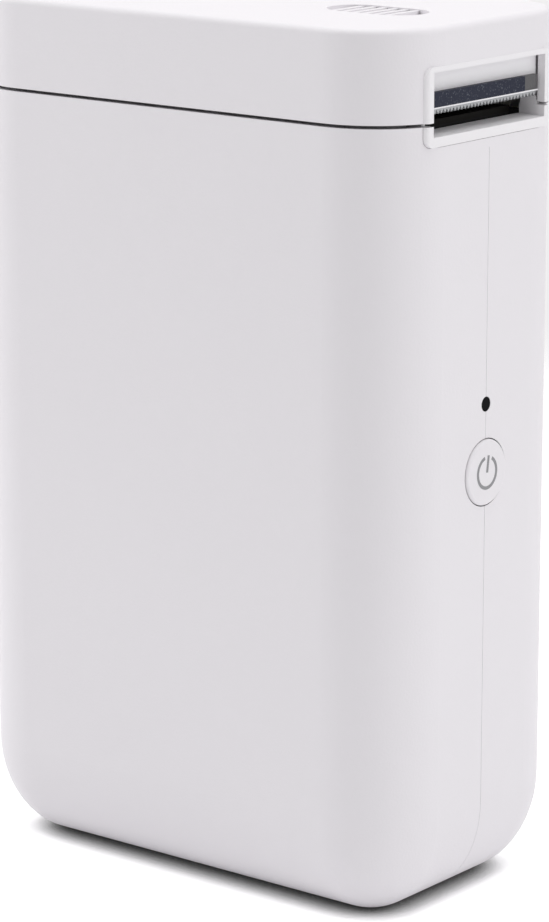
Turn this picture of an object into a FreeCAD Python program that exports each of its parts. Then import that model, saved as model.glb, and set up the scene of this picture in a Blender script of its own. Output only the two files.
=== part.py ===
"""Pocket thermal label printer: two body shells, a flip-up lid that carries the platen, and the works inside.

Millimetres, +Z up, +X towards the face that the labels leave by, origin at the middle of the flat base.
"""

import FreeCAD
import Part
import math
import os

V = FreeCAD.Vector
UP = V(0, 0, 1)

# Outer case
BODY_W = 81.0
BODY_T = 45.6
BODY_H = 130.0
WALL = 2.0
CORNER_R = 12.0
BASE_RISE = 15.5
BASE_INSET = 11.8
LID_H = 13.4
LID_EDGE_R = 0.9
SEAM_GAP = 0.5
PARTING_GROOVE = 0.06
SEAM_RIB_T = 0.9
SEAM_RIB_UP = 1.6
SEAM_RIB_DOWN = 1.8

# Clearances
FACE_GAP = 0.3
RUN_GAP = 0.05
TRIM_GAP = 0.06

# Label exit in the +X face, measured from the seam
EXIT_HALF_W = 13.4
EXIT_BELOW = 1.8
EXIT_ABOVE = 7.2
EXIT_PILLAR_T = 1.2
EXIT_POCKET = 1.1
BEZEL_BORDER = 1.45
BEZEL_ABOVE = 0.75
BEZEL_BELOW = 1.4
BEZEL_PROUD = 0.05
BEZEL_EDGE_R = 0.75
BEZEL_CORNER_R = 1.3
LIP_SLOPE = 0.15
LIP_DEPTH = 4.4
GUIDE_T = 0.8
GUIDE_RISE = 1.0

# Finger grip on the lid
GRIP_INSET = 18.6
GRIP_Y = -1.5
GRIP_LENGTH = 16.1
GRIP_WIDTH = 8.5
GRIP_DEPTH = 0.7
GRIP_RIBS = 6
GRIP_RIB_W = 0.9
GRIP_RIB_PITCH = 1.9

# Power button and indicator
BUTTON_DROP = 51.6
BUTTON_R = 4.86
BUTTON_GAP = 0.14
BUTTON_PROUD = 0.35
BUTTON_EDGE_R = 0.5
BUTTON_FLANGE = 0.9
BUTTON_FLANGE_T = 0.9
BUTTON_TRAVEL = 0.5
SWITCH_GAP = 0.1
STEM_R = 1.5
COLLAR_T = 1.2
INDICATOR_RISE = 10.0
INDICATOR_R = 1.05
INDICATOR_RECESS = 0.05
PIPE_FLANGE = 0.7

# Lid hinge along Y at the -X end
KNUCKLE_R = 1.6
HINGE_PIN_R = 0.75
LID_KNUCKLE_HALF = 5.7
BODY_KNUCKLE_L = 4.5
HINGE_SIDE = 2.8
HINGE_SWING = 1.0
HINGE_WEB = 4.0

# Label roll bay
ROLL_R = 23.0
BAY_HALF_W = 13.6
BAY_WALL = 1.6
BAY_SIDE_GAP = 1.4
BAY_TOP_DROP = 0.85
BAY_RIM = 0.5
BAY_MOUTH_DROP = 11.5
BAY_POST_OUT = 16.5
BAY_POST_DROP = 8.0
BAY_POST_IN = 15.5
BAY_POST_LOW = 15.0
POST_R = 2.4

# Print line: platen in the lid, head in the body
PLATEN_INSET = 11.0
PLATEN_RISE = 4.3
PLATEN_R = 4.5
PLATEN_HALF = 12.6
SHAFT_R = 1.5
BUSH_R = 2.5
PAPER_GAP = 0.3
CERAMIC_T = 1.0
CERAMIC_W = 11.0
HEAD_PLATE_T = 1.8
HEAD_HALF = 12.6
HEAD_REACH = 11.0
HEAD_PIVOT_DROP = 1.9
HEAD_PIN_R = 1.0
HEAD_BARREL_R = 1.9
HEAD_NOSE = 5.5
SPRING_T = 0.4
SPRING_W = 6.0
SPRING_Y = 7.5

# Lid frame and cutter
FRAME_T = 1.6
FRAME_BACK = 2.6
CHEEK_HALF_W = 6.5
CHEEK_RISE = 0.6
PLATE_INSET = 1.5
PLATE_HALF_W = 13.3
BLADE_T = 0.4
BLADE_HALF_W = 13.0
BLADE_RISE = 1.15
BLADE_H = 2.6
BLADE_SHOWN = 1.05
BLADE_PITCH = 0.8
TOOTH_DEPTH = 0.6
STRIP_T = 0.5
STRIP_H = 2.1
STRIP_HALF_W = 12.6
STRIP_SHORT = 3.2
LEDGE_T = 0.2
STRIP_END_STEP = 0.15

# Print mechanism chassis
CHEEK_Y = 13.8
CHEEK_T = 1.5
CHASSIS_INSET = 4.8
CHASSIS_W = 23.1
CHASSIS_H = 34.3
CHASSIS_TOP_DROP = 1.05
CHASSIS_POST_BACK = 2.4
CHASSIS_POST_FRONT = 2.7
CHASSIS_POST_UP = 3.6
DECK_T = 1.6
DECK_DROP = 3.3
DECK_W = 3.6
SPRING_SEAT_DROP = 8.3
SPRING_SEAT_W = 9.7

# Gear train, module and tooth counts
MODULE = 0.5
PRESSURE_DEG = 25.0
ADDENDUM = 0.8
DEDENDUM = 1.1
BACKLASH = 0.09
MESH_SLACK = 0.05
PLATEN_TEETH = 18
IDLER_TEETH = 20
PINION_TEETH = 12
REDUCTION_TEETH = 30
GEAR_T = 1.6
IDLER_DIR = -90.0
REDUCTION_DIR = 225.0
MOTOR_DIR = 250.0
POST_SHAFT_R = 0.9
MOTOR_R = 7.5
MOTOR_L = 12.0
MOTOR_EAR_L = 3.2
MOTOR_EAR_T = 1.0
MOTOR_SHAFT_R = 0.75

# Electronics
BOARD_T = 1.6
PART_H = 3.5
BOARD_SIDE_GAP = 13.5
BOARD_Z0 = 18.0
BOARD_BAY_GAP = 9.4
BOARD_TAB_IN = 1.4
BOARD_TAB_GAP = 1.0
BOARD_EDGE_GAP = 5.5
BOARD_POST_IN = 4.0
BOARD_TAB_POST_IN = 11.5
BOARD_TAB_POST_DROP = 6.5
USB_Z = 34.0
USB_W = 9.2
USB_L = 7.4
USB_RECESS = 0.9
USB_SHELL_T = 0.35
USB_TONGUE_W = 6.7
USB_TONGUE_T = 0.7
SWITCH_HALF = 3.0
SWITCH_L = 3.4
CHIP_T = 1.0
PROCESSOR_SIDE = 7.0
RADIO_W = 9.0
RADIO_H = 6.5
DRIVER_SIDE = 5.0
CHARGER_SIDE = 3.0
BATTERY_IN = 1.0
BATTERY_L = 50.0
BATTERY_Z0 = 19.0
BATTERY_W = 34.0
BATTERY_T = 11.4
BATTERY_R = 2.5
PAD_T = 0.4
LEAD_R = 0.7
LEAD_IN = 4.0
LEAD_PITCH = 2.4
LEAD_RISE = 4.0
LEAD_BEND_R = 3.0
RIBBON_T = 0.3
RIBBON_HALF = 6.0

# Fasteners
BOSS_R = 3.0
BOSS_LOW_Z = 20.0
BOSS_LOW_IN = 9.0
BOSS_HIGH_IN = 8.5
BOSS_HIGH_RISE = 3.0
BOSS_FRONT_IN = 8.0
BOSS_FRONT_DROP = 15.0
SCREW_R = 0.9
SCREW_HOLE_R = 1.2
SCREW_HEAD_R = 2.0
SCREW_HEAD_T = 1.3
SCREW_BITE = 7.0
COUNTERBORE_R = 2.4
COUNTERBORE_FLOOR = 5.0
PLUG_T = 1.6
SMALL_SCREW_R = 0.8
SMALL_HEAD_R = 1.7
SMALL_HEAD_T = 1.0
CHASSIS_BITE = 3.5

# Derived places: case, seam and exit
HALF_W = BODY_W / 2
HALF_T = BODY_T / 2
INNER_W = HALF_W - WALL
INNER_T = HALF_T - WALL
SEAM_Z = BODY_H - LID_H
BODY_TOP = SEAM_Z - SEAM_GAP / 2
LID_BOTTOM = SEAM_Z + SEAM_GAP / 2
LID_CEILING = BODY_H - WALL
EXIT_BOTTOM_Z = SEAM_Z - EXIT_BELOW
EXIT_TOP_Z = SEAM_Z + EXIT_ABOVE
BEZEL_HALF_W = EXIT_HALF_W + BEZEL_BORDER
BEZEL_BOTTOM = EXIT_BOTTOM_Z - BEZEL_BELOW
BEZEL_TOP = EXIT_TOP_Z + BEZEL_ABOVE
BEZEL_X = HALF_W + BEZEL_PROUD
GRIP_X = HALF_W - GRIP_INSET
BUTTON_Z = SEAM_Z - BUTTON_DROP
INDICATOR_Z = BUTTON_Z + INDICATOR_RISE
HINGE_X = -HALF_W + KNUCKLE_R
HINGE_Z = SEAM_Z
HINGE_HALF = HALF_T - HINGE_SIDE
KNUCKLE_Y0 = LID_KNUCKLE_HALF + FACE_GAP

# Derived places: roll bay and print line
BAY_TOP_Z = BODY_TOP - BAY_TOP_DROP
BAY_MOUTH_Z = BAY_TOP_Z - BAY_MOUTH_DROP
ROLL_X = -INNER_W + BAY_SIDE_GAP + BAY_WALL + ROLL_R
ROLL_Z = BAY_TOP_Z - BAY_RIM - ROLL_R
BAY_BOTTOM_Z = ROLL_Z - ROLL_R - BAY_WALL
BAY_POSTS = [(ROLL_X - BAY_POST_OUT, ROLL_Z - BAY_POST_DROP), (ROLL_X + BAY_POST_IN, ROLL_Z - BAY_POST_LOW)]
PLATEN_X = HALF_W - PLATEN_INSET
PLATEN_Z = SEAM_Z + PLATEN_RISE
PAPER_Z = PLATEN_Z - PLATEN_R
HEAD_TOP = PAPER_Z - PAPER_GAP
PLATE_TOP = HEAD_TOP - CERAMIC_T
PLATE_BOTTOM = PLATE_TOP - HEAD_PLATE_T
HEAD_PIVOT_X = PLATEN_X - HEAD_REACH
HEAD_PIVOT_Z = PLATE_TOP - HEAD_PIVOT_DROP
CHASSIS_X1 = HALF_W - CHASSIS_INSET
CHASSIS_X0 = CHASSIS_X1 - CHASSIS_W
CHASSIS_TOP = BODY_TOP - CHASSIS_TOP_DROP
CHASSIS_Z0 = CHASSIS_TOP - CHASSIS_H
CHASSIS_POST_Z = CHASSIS_Z0 + CHASSIS_POST_UP
CHASSIS_POSTS = [
    (CHASSIS_X0 + CHASSIS_POST_BACK, CHASSIS_POST_Z),
    (CHASSIS_X1 - CHASSIS_POST_FRONT, CHASSIS_POST_Z),
]
CHEEK_OUT_Y = CHEEK_Y + CHEEK_T
DECK_Z = CHASSIS_TOP - DECK_DROP
SPRING_SEAT_Z = CHASSIS_TOP - SPRING_SEAT_DROP
SPRING_SEAT_TOP = SPRING_SEAT_Z + DECK_T
SPRING_SEAT_X0 = CHASSIS_X1 - SPRING_SEAT_W
GEAR_Y = CHEEK_OUT_Y + FACE_GAP
GEAR2_Y = GEAR_Y + GEAR_T + FACE_GAP

# Derived places: lid frame and cutter
LID_CHEEK_OUT = CHEEK_Y + CHEEK_T - RUN_GAP * 2
FRAME_BACK_X = CHASSIS_X0 - FRAME_BACK
CHEEK_BOTTOM_Z = SEAM_Z + CHEEK_RISE
PLATE_FACE_X = HALF_W - PLATE_INSET
BLADE_TIP_Z = SEAM_Z + BLADE_RISE
BLADE_TOP_Z = BLADE_TIP_Z + BLADE_H
STRIP_BOTTOM_Z = BLADE_TIP_Z + BLADE_SHOWN
STRIP_TOP_Z = STRIP_BOTTOM_Z + STRIP_H
STRIP_END_Y = STRIP_HALF_W - STRIP_SHORT

# Derived places: board, battery and body screws
BOARD_X0 = -HALF_W + BOARD_SIDE_GAP
BOARD_X1 = HALF_W - BOARD_SIDE_GAP
BOARD_Z1 = BAY_BOTTOM_Z - BOARD_BAY_GAP
BOARD_FACE_Y = -PART_H / 2
BOARD_TAB_X = CHASSIS_X0 + BOARD_TAB_IN
BOARD_TAB_TOP = CHASSIS_Z0 - BOARD_TAB_GAP
BOARD_POSTS = [
    (BOARD_X0 + BOARD_POST_IN, BOARD_Z0 + BOARD_POST_IN),
    (BOARD_X1 - BOARD_POST_IN, BOARD_Z0 + BOARD_POST_IN),
    (BOARD_X0 + BOARD_POST_IN, BOARD_Z1 - BOARD_POST_IN),
    (HALF_W - BOARD_TAB_POST_IN, BUTTON_Z - BOARD_TAB_POST_DROP),
]
BATTERY_X0 = BOARD_X0 + BATTERY_IN
LEAD_X = BATTERY_X0 + BATTERY_L - LEAD_IN
BOSSES = [
    (-HALF_W + BOSS_LOW_IN, BOSS_LOW_Z),
    (HALF_W - BOSS_LOW_IN, BOSS_LOW_Z),
    (-HALF_W + BOSS_HIGH_IN, BOARD_Z1 + BOSS_HIGH_RISE),
    (HALF_W - BOSS_FRONT_IN, BUTTON_Z - BOSS_FRONT_DROP),
]


# Plain solids

def box(x0, x1, y0, y1, z0, z1):
    return Part.makeBox(x1 - x0, y1 - y0, z1 - z0, V(x0, y0, z0))


def rod_x(y, z, r, x0, x1):
    return Part.makeCylinder(r, x1 - x0, V(x0, y, z), V(1, 0, 0))


def rod_y(x, z, r, y0, y1):
    return Part.makeCylinder(r, y1 - y0, V(x, y0, z), V(0, 1, 0))


def rod_z(x, y, r, z0, z1):
    return Part.makeCylinder(r, z1 - z0, V(x, y, z0), UP)


def fuse(first, *others):
    return first.multiFuse(list(others)).removeSplitter()


def both_sides(solid):
    """A solid on the +Y side and its mirror image on the -Y side."""
    return [solid, solid.mirror(V(0, 0, 0), V(0, 1, 0))]


def quarter_round(start, end, centre):
    """Quarter of an ellipse from start to end about centre."""
    a, b = (start - centre).Length, (end - centre).Length
    if abs(a - b) < 1e-6:
        corner = start + end - centre
        middle = centre + (corner - centre).normalize() * a
        return Part.Arc(start, middle, end).toShape()
    first, second = (start, end) if a > b else (end, start)
    return Part.ArcOfEllipse(Part.Ellipse(first, second, centre), 0, math.pi / 2).toShape()


def straight(start, end):
    return Part.LineSegment(start, end).toShape()


def rounded_block(half_w, half_t, z0, z1, corner_r, base_rise=0.0, base_inset=0.0, top_r=0.0):
    """Upright block with round corners, an elliptical round along its base and a plain one along its top."""
    foot, low = V(corner_r - base_inset, 0, z0), V(corner_r, 0, z0 + base_rise)
    high, crown = V(corner_r, 0, z1 - top_r), V(corner_r - top_r, 0, z1)
    top, bottom = V(0, 0, z1), V(0, 0, z0)
    edges = [straight(top, bottom), straight(bottom, foot), straight(low, high), straight(crown, top)]
    if base_rise:
        edges.append(quarter_round(foot, low, V(foot.x, 0, low.z)))
    if top_r:
        edges.append(quarter_round(high, crown, V(crown.x, 0, high.z)))
    profile = Part.Face(Part.Wire(Part.__sortEdges__(edges)))
    cx, cy = half_w - corner_r, half_t - corner_r
    centres = [V(cx, cy, 0), V(-cx, cy, 0), V(-cx, -cy, 0), V(cx, -cy, 0)]
    pieces = []
    for i, centre in enumerate(centres):
        section = profile.copy()
        section.rotate(V(0, 0, 0), UP, 90 * i)
        turned = section.translated(centre)
        pieces.append(turned.revolve(centre, UP, 90))
        before = centres[i - 1]
        pieces.append(section.translated(before).extrude(centre - before))
    return fuse(box(-cx, cx, -cy, cy, z0, z1), *pieces)


def stadium_x(y, z, width, height, x0, x1):
    """Slot-shaped bar along X, its long side along Z."""
    r = height / 2
    reach = width / 2 - r
    bar = box(x0, x1, y - r, y + r, z - reach, z + reach)
    return fuse(bar, rod_x(y, z - reach, r, x0, x1), rod_x(y, z + reach, r, x0, x1))


def plate_xz(points, y0, y1):
    """Flat plate between y0 and y1 with the outline given as (x, z) points."""
    loop = [V(x, y0, z) for x, z in points]
    return Part.Face(Part.makePolygon(loop + loop[:1])).extrude(V(0, y1 - y0, 0))


def screw_y(x, z, head_y, head_r, head_t, shank_r, tip_y):
    """Screw along Y. head_y is the seat under its head, tip_y the end of its shank."""
    way = 1 if tip_y < head_y else -1
    head = rod_y(x, z, head_r, min(head_y, head_y + way * head_t), max(head_y, head_y + way * head_t))
    shank = rod_y(x, z, shank_r, min(head_y, tip_y), max(head_y, tip_y))
    slot_y = head_y + way * head_t
    y0, y1 = slot_y - head_t * 0.4, slot_y + head_t * 0.4
    drive = [
        box(x - head_r * a, x + head_r * a, y0, y1, z - head_r * b, z + head_r * b)
        for a, b in ((0.6, 0.16), (0.16, 0.6))
    ]
    return fuse(head, shank).cut(drive)


# Gears

def involute(angle):
    return math.tan(angle) - angle


def gear(x, z, teeth, phase_deg, y0, y1, bore_r):
    """Spur gear about Y. One tooth points along phase_deg, measured from +X towards +Z."""
    pitch_r = MODULE * teeth / 2
    base_r = pitch_r * math.cos(math.radians(PRESSURE_DEG))
    tip_r, root_r = pitch_r + ADDENDUM * MODULE, pitch_r - DEDENDUM * MODULE
    half_at_pitch = (math.pi * MODULE / 2 - BACKLASH) / 2 / pitch_r
    start_r = max(base_r, root_r)
    flank_steps = 4
    flank = []
    for i in range(flank_steps + 1):
        r = start_r + (tip_r - start_r) * i / flank_steps
        narrowing = involute(math.acos(min(1.0, base_r / r))) - involute(math.radians(PRESSURE_DEG))
        flank.append((r, half_at_pitch - narrowing))
    if root_r < start_r:
        flank.insert(0, (root_r, flank[0][1]))
    points = []
    for k in range(teeth):
        middle = math.radians(phase_deg) + 2 * math.pi * k / teeth
        sides = [(r, middle - half) for r, half in flank]
        sides += [(r, middle + half) for r, half in reversed(flank)]
        points += [(x + r * math.cos(a), z + r * math.sin(a)) for r, a in sides]
    return plate_xz(points, y0, y1).cut(rod_y(x, z, bore_r, y0, y1))


def mesh_phase(phase_deg, teeth, other_teeth, direction_deg):
    """Phase of a gear that meshes with one of known phase and lies in that direction from it."""
    pitch, other_pitch = 360.0 / teeth, 360.0 / other_teeth
    ahead = (direction_deg - phase_deg) / pitch
    return direction_deg + 180.0 - other_pitch * (0.5 - ahead)


def meshed_place(x, z, teeth, other_teeth, direction_deg):
    distance = MODULE * (teeth + other_teeth) / 2 + MESH_SLACK
    a = math.radians(direction_deg)
    return x + distance * math.cos(a), z + distance * math.sin(a)


PLATEN_PHASE = IDLER_DIR
IDLER_X, IDLER_Z = meshed_place(PLATEN_X, PLATEN_Z, PLATEN_TEETH, IDLER_TEETH, IDLER_DIR)
IDLER_PHASE = mesh_phase(PLATEN_PHASE, PLATEN_TEETH, IDLER_TEETH, IDLER_DIR)
REDUCTION_X, REDUCTION_Z = meshed_place(IDLER_X, IDLER_Z, IDLER_TEETH, PINION_TEETH, REDUCTION_DIR)
REDUCTION_PHASE = mesh_phase(IDLER_PHASE, IDLER_TEETH, PINION_TEETH, REDUCTION_DIR)
MOTOR_X, MOTOR_Z = meshed_place(REDUCTION_X, REDUCTION_Z, REDUCTION_TEETH, PINION_TEETH, MOTOR_DIR)
MOTOR_PHASE = mesh_phase(REDUCTION_PHASE, REDUCTION_TEETH, PINION_TEETH, MOTOR_DIR)


# Body shells

def body_outer():
    return rounded_block(HALF_W, HALF_T, 0, BODY_TOP, CORNER_R, BASE_RISE, BASE_INSET)


def mid_wall():
    """Block that ends halfway through the wall, to trim what grows out of it."""
    half = WALL / 2
    return rounded_block(
        HALF_W - half, HALF_T - half, half, BODY_TOP, CORNER_R - half, BASE_RISE - half, BASE_INSET - half
    )


def body_wall(outer):
    inner = rounded_block(
        INNER_W, INNER_T, WALL, BODY_TOP + WALL, CORNER_R - WALL, BASE_RISE - WALL, BASE_INSET - WALL
    )
    return outer.cut(inner)


def exit_block(x0, x1, grow, z1):
    """Block with the outline of the exit surround, its four corners round, grown outwards by a gap."""
    half = BEZEL_HALF_W + grow
    block = box(x0, x1, -half, half, BEZEL_BOTTOM - grow, z1)
    corners = [e for e in block.Edges if abs(e.tangentAt(e.FirstParameter).x) > 0.9]
    return block.makeFillet(BEZEL_CORNER_R + grow, corners)


def exit_notch():
    """Where the exit lip sits in the +X wall."""
    return exit_block(INNER_W - WALL, HALF_W + WALL, TRIM_GAP, BODY_TOP + 2 * WALL)


def parting_grooves():
    """Fine groove where the two shells meet, down both ends and under the base."""
    half = PARTING_GROOVE / 2
    depth = PARTING_GROOVE
    rim = body_outer().cut(
        rounded_block(
            HALF_W - depth, HALF_T - depth, depth, BODY_TOP + WALL, CORNER_R - depth, BASE_RISE - depth,
            BASE_INSET - depth,
        )
    )
    return rim.common(box(-BODY_W, BODY_W, -half, half, -WALL, BEZEL_BOTTOM - BEZEL_BELOW))


def wall_cuts():
    """Openings through the shells: exit, button, indicator, socket, hinge swing and parting groove."""
    swing_r = KNUCKLE_R + HINGE_SWING
    return [
        exit_notch(),
        rod_x(0, BUTTON_Z, BUTTON_R + BUTTON_GAP, INNER_W - WALL, HALF_W + WALL),
        rod_x(0, INDICATOR_Z, INDICATOR_R + RUN_GAP, INNER_W - WALL, HALF_W + WALL),
        stadium_x(0, USB_Z, USB_W + 2 * BUTTON_GAP, PART_H + 2 * BUTTON_GAP, -HALF_W - WALL, -INNER_W + WALL),
        rod_y(HINGE_X, HINGE_Z, swing_r, -HINGE_HALF, HINGE_HALF),
        parting_grooves(),
    ]


def body_knuckle(y0, y1):
    web = box(HINGE_X - KNUCKLE_R / 2, HINGE_X + KNUCKLE_R, y0, y1, HINGE_Z - HINGE_WEB, HINGE_Z)
    return fuse(rod_y(HINGE_X, HINGE_Z, KNUCKLE_R, y0, y1), web)


def button_collar():
    """Guide ring round the button's flange, behind the wall."""
    inside = BUTTON_R + BUTTON_FLANGE + FACE_GAP
    x0 = INNER_W - BUTTON_FLANGE_T - 2 * COLLAR_T
    ring = rod_x(0, BUTTON_Z, inside + COLLAR_T, x0, INNER_W + WALL / 2)
    return ring.cut(rod_x(0, BUTTON_Z, inside, x0, HALF_W)).common(mid_wall())


def inner_ring(z0, z1, gap, thickness):
    """Ring that follows the inside of the wall at a gap from it."""
    near, far = WALL + gap, WALL + gap + thickness
    return rounded_block(HALF_W - near, HALF_T - near, z0, z1, CORNER_R - near).cut(
        rounded_block(HALF_W - far, HALF_T - far, z0, z1, CORNER_R - far)
    )


def seam_rib():
    """Rib that stands up inside the lid and closes the seam to light, away from the hinge and the exit."""
    foot = BODY_TOP - SEAM_RIB_DOWN
    ring = fuse(
        inner_ring(foot, BODY_TOP - FACE_GAP, -WALL / 4, WALL / 4 + FACE_GAP + SEAM_RIB_T),
        inner_ring(foot, SEAM_Z + SEAM_RIB_UP, FACE_GAP, SEAM_RIB_T),
    )
    hinge_end = box(-BODY_W, -HALF_W + CORNER_R + WALL, -BODY_T, BODY_T, 0, BODY_H)
    half = BEZEL_HALF_W + TRIM_GAP + FACE_GAP
    exit_end = box(HALF_W - CORNER_R, BODY_W, -half, half, 0, BODY_H)
    return ring.cut([hinge_end, exit_end]).common(box(-BODY_W, BODY_W, 0, BODY_T, 0, BODY_H))


def shell_features():
    """Posts for the roll bay and chassis, screw bosses, button collar, hinge knuckle and seam rib, at +Y."""
    seats = [rod_y(x, z, POST_R, y, HALF_T) for x, z, y in seat_posts()]
    bosses = [rod_y(x, z, BOSS_R, 0, HALF_T) for x, z in BOSSES]
    collar = button_collar().common(box(0, BODY_W, 0, BODY_T, 0, BODY_H))
    knuckle = body_knuckle(KNUCKLE_Y0, KNUCKLE_Y0 + BODY_KNUCKLE_L)
    trim = mid_wall()
    return [piece.common(trim) for piece in seats + bosses] + [collar, knuckle, seam_rib()]


def seat_posts():
    bay = [(x, z, BAY_HALF_W + BAY_WALL) for x, z in BAY_POSTS]
    chassis = [(x, z, CHEEK_OUT_Y) for x, z in CHASSIS_POSTS]
    return bay + chassis


def shell_holes():
    """Holes on the +Y side that both shells share: hinge pin and chassis screws."""
    pin = rod_y(HINGE_X, HINGE_Z, HINGE_PIN_R + RUN_GAP / 2, 0, HINGE_HALF)
    tip = CHEEK_OUT_Y + CHASSIS_BITE + FACE_GAP
    screws = [rod_y(x, z, SMALL_SCREW_R + RUN_GAP, 0, tip) for x, z in CHASSIS_POSTS]
    return [pin] + screws


def half_shell(outer):
    """The +Y half of the body with everything that both shells have."""
    half = body_wall(outer).common(box(-BODY_W, BODY_W, 0, BODY_T, -WALL, BODY_H)).cut(wall_cuts())
    return fuse(half, *shell_features()).cut(shell_holes())


def make_rear_shell(outer):
    cuts = []
    for x, z in BOSSES:
        cuts.append(rod_y(x, z, SCREW_HOLE_R, 0, HALF_T))
        cuts.append(rod_y(x, z, COUNTERBORE_R, COUNTERBORE_FLOOR, BODY_T))
    return half_shell(outer).cut(cuts)


def make_front_shell(outer):
    shell = half_shell(outer).mirror(V(0, 0, 0), V(0, 1, 0))
    board_back = BOARD_FACE_Y - BOARD_T
    posts = [rod_y(x, z, POST_R, -INNER_T - WALL / 2, board_back) for x, z in BOARD_POSTS]
    holes = [rod_y(x, z, SMALL_SCREW_R + RUN_GAP, -INNER_T, board_back) for x, z in BOARD_POSTS]
    holes += [rod_y(x, z, SCREW_R + RUN_GAP, -SCREW_BITE - FACE_GAP, 0) for x, z in BOSSES]
    trim = mid_wall()
    return fuse(shell, *[post.common(trim) for post in posts]).cut(holes)


def make_shell_screws():
    return [
        screw_y(x, z, COUNTERBORE_FLOOR, SCREW_HEAD_R, SCREW_HEAD_T, SCREW_R, -SCREW_BITE) for x, z in BOSSES
    ]


def make_screw_plugs(outer):
    """Caps over the screws, flush with the back."""
    skin = outer.cut(box(-BODY_W, BODY_W, -BODY_T, HALF_T - CORNER_R, -WALL, BODY_H))
    plugs = []
    for x, z in BOSSES:
        plug = rod_y(x, z, COUNTERBORE_R - TRIM_GAP, 0, BODY_T).common(skin)
        back = plug.BoundBox.YMax
        plugs.append(plug.common(box(x - BOSS_R, x + BOSS_R, back - PLUG_T, back, z - BOSS_R, z + BOSS_R)))
    return plugs


def make_hinge_pin():
    end = KNUCKLE_Y0 + BODY_KNUCKLE_L
    return rod_y(HINGE_X, HINGE_Z, HINGE_PIN_R, -end, end)


# Exit lip in the body

def bezel_blank(z0, z1):
    """Flat frame round the exit with soft sides, before the exit is cut through it."""
    x0 = INNER_W - FACE_GAP
    block = box(x0, BEZEL_X, -BEZEL_HALF_W, BEZEL_HALF_W, BEZEL_BOTTOM, BEZEL_TOP)
    sides = [e for e in block.Edges if e.BoundBox.XMin > BEZEL_X - 1e-6 and e.BoundBox.YLength < 1e-6]
    soft = block.makeFillet(min(BEZEL_EDGE_R, BEZEL_BORDER / 2), sides)
    outline = exit_block(x0 - WALL, BEZEL_X + WALL, 0, BEZEL_TOP)
    return soft.common(outline).common(box(0, BODY_W, -BODY_T, BODY_T, z0, z1))


def make_exit_lip():
    """Lower part of the exit surround: a trough with a lip, and side guides that reach up inside the lid."""
    back = BEZEL_X - LIP_DEPTH
    blank = fuse(
        bezel_blank(BEZEL_BOTTOM, BODY_TOP),
        exit_block(back, INNER_W, 0, BEZEL_TOP).common(box(back, INNER_W, -BODY_T, BODY_T, 0, BODY_TOP)),
    )
    outline = [
        (BEZEL_X + WALL, EXIT_BOTTOM_Z - LIP_SLOPE * WALL / LIP_DEPTH),
        (back, EXIT_BOTTOM_Z + LIP_SLOPE),
        (back - WALL, EXIT_BOTTOM_Z + LIP_SLOPE),
        (back - WALL, BODY_TOP + WALL),
        (BEZEL_X + WALL, BODY_TOP + WALL),
    ]
    trough = blank.cut(plate_xz(outline, -EXIT_HALF_W, EXIT_HALF_W))
    guide_x0 = PLATEN_X + CHEEK_HALF_W + FACE_GAP
    guide_x1 = HALF_W - EXIT_PILLAR_T - FACE_GAP
    guide = box(
        guide_x0, guide_x1, EXIT_HALF_W, EXIT_HALF_W + GUIDE_T, EXIT_BOTTOM_Z, SEAM_Z + GUIDE_RISE
    )
    return fuse(trough, *both_sides(guide))


# Label bay

def make_roll_cradle():
    """Trough that the label roll drops into, open on top and towards the print line."""
    half = BAY_HALF_W + BAY_WALL
    reach = ROLL_R + BAY_WALL
    outside = fuse(
        rod_y(ROLL_X, ROLL_Z, reach, -half, half),
        box(ROLL_X - reach, ROLL_X + reach, -half, half, ROLL_Z, BAY_TOP_Z),
    ).common(box(-BODY_W, BODY_W, -half, half, 0, BAY_TOP_Z))
    inside = fuse(
        rod_y(ROLL_X, ROLL_Z, ROLL_R, -BAY_HALF_W, BAY_HALF_W),
        box(ROLL_X - ROLL_R, ROLL_X + ROLL_R, -BAY_HALF_W, BAY_HALF_W, ROLL_Z, BODY_H),
    )
    mouth = box(ROLL_X, ROLL_X + reach + WALL, -BAY_HALF_W, BAY_HALF_W, BAY_MOUTH_Z, BODY_H)
    return outside.cut([inside, mouth])


# Chassis, motor and gears

def make_chassis():
    """Side cheeks joined by a floor, a paper deck and the seat of the head spring."""
    cheeks = both_sides(box(CHASSIS_X0, CHASSIS_X1, CHEEK_Y, CHEEK_OUT_Y, CHASSIS_Z0, CHASSIS_TOP))
    floor = box(CHASSIS_X0, CHASSIS_X1, -CHEEK_Y, CHEEK_Y, CHASSIS_Z0, CHASSIS_Z0 + DECK_T)
    deck = box(CHASSIS_X0, CHASSIS_X0 + DECK_W, -CHEEK_Y, CHEEK_Y, DECK_Z, DECK_Z + DECK_T)
    seat = box(SPRING_SEAT_X0, CHASSIS_X1, -CHEEK_Y, CHEEK_Y, SPRING_SEAT_Z, SPRING_SEAT_TOP)
    reach = CHEEK_OUT_Y + WALL
    holes = [rod_y(x, z, SMALL_SCREW_R + RUN_GAP, -reach, reach) for x, z in CHASSIS_POSTS]
    holes.append(rod_y(HEAD_PIVOT_X, HEAD_PIVOT_Z, HEAD_PIN_R, -reach, reach))
    for x, z, r in (
        (MOTOR_X, MOTOR_Z, MOTOR_SHAFT_R * 2),
        (IDLER_X, IDLER_Z, POST_SHAFT_R),
        (REDUCTION_X, REDUCTION_Z, POST_SHAFT_R),
    ):
        holes.append(rod_y(x, z, r, 0, reach))
    holes += [rod_y(x, z, SMALL_SCREW_R + RUN_GAP, 0, reach) for x, z in motor_screw_places()]
    return fuse(cheeks[0], cheeks[1], floor, deck, seat).cut(holes)


def make_chassis_screws():
    out = []
    tip = CHEEK_OUT_Y + CHASSIS_BITE
    for x, z in CHASSIS_POSTS:
        out += both_sides(screw_y(x, z, CHEEK_Y, SMALL_HEAD_R, SMALL_HEAD_T, SMALL_SCREW_R, tip))
    return out


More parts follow.
